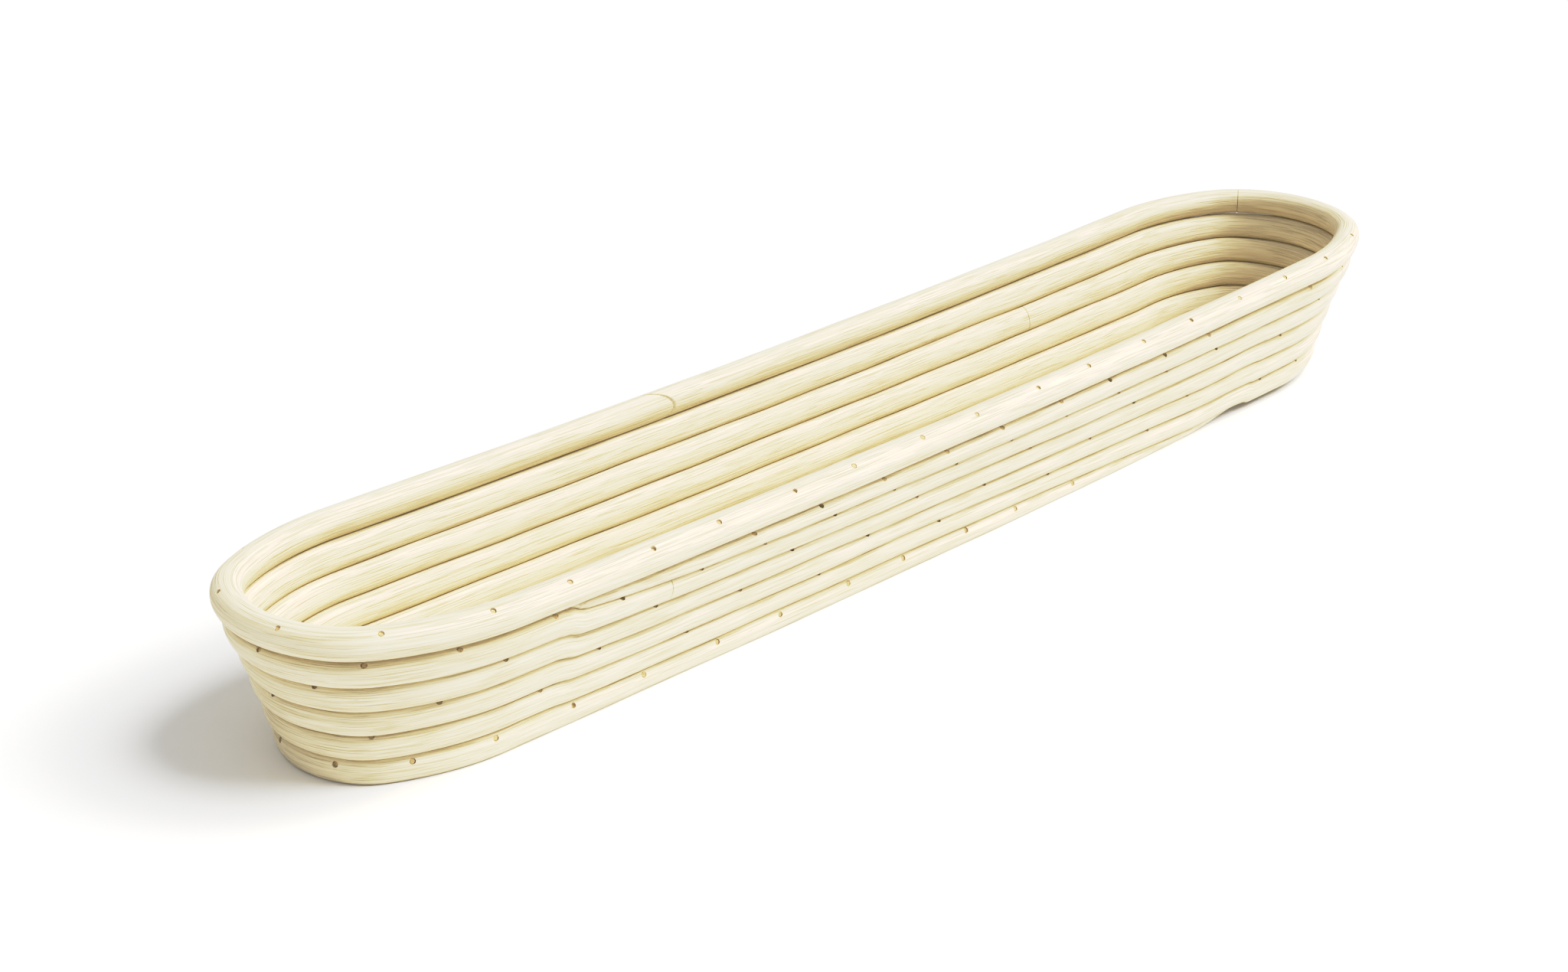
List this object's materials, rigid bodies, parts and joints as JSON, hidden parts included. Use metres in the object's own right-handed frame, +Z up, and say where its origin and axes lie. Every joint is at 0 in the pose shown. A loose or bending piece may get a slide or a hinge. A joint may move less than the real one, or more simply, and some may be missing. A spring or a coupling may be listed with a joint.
{
  "type": "proofing basket",
  "caption": "Long oval banneton of coiled round rattan cane, pegged lap to lap, with a round cane rim and a slatted cane floor.",
  "frame": {"origin": "on the surface that the basket stands on, under the middle of its outline", "axes": "+X along the basket towards the end that is raised and stands slightly higher, +Z up, -Y towards the side where the coil starts and ends"},
  "size_m": [0.53, 0.1023, 0.0604],
  "materials": {
    "rim_cane": "bare peeled rattan, satin",
    "coil_cane": "bare peeled rattan, matt",
    "floor_cane": "bare peeled rattan, matt",
    "pegs": "bare wood, matt"
  },
  "bodies": {
    "root": {"rim_cane_long": "rim_cane", "rim_cane_short": "rim_cane", "coil_cane_1": "coil_cane", "coil_cane_2": "coil_cane", "coil_cane_3": "coil_cane", "coil_cane_4": "coil_cane", "coil_cane_5": "coil_cane", "floor_cane_1": "floor_cane", "floor_cane_2": "floor_cane", "floor_cane_3": "floor_cane", "floor_cane_4": "floor_cane", "floor_cane_5": "floor_cane", "floor_cane_6": "floor_cane", "rim_pegs": "pegs", "wall_pegs_lap_1": "pegs", "wall_pegs_lap_2": "pegs", "wall_pegs_lap_3": "pegs", "wall_pegs_lap_4": "pegs", "wall_pegs_lap_5": "pegs", "floor_pins": "pegs"}
  },
  "joints": []
}
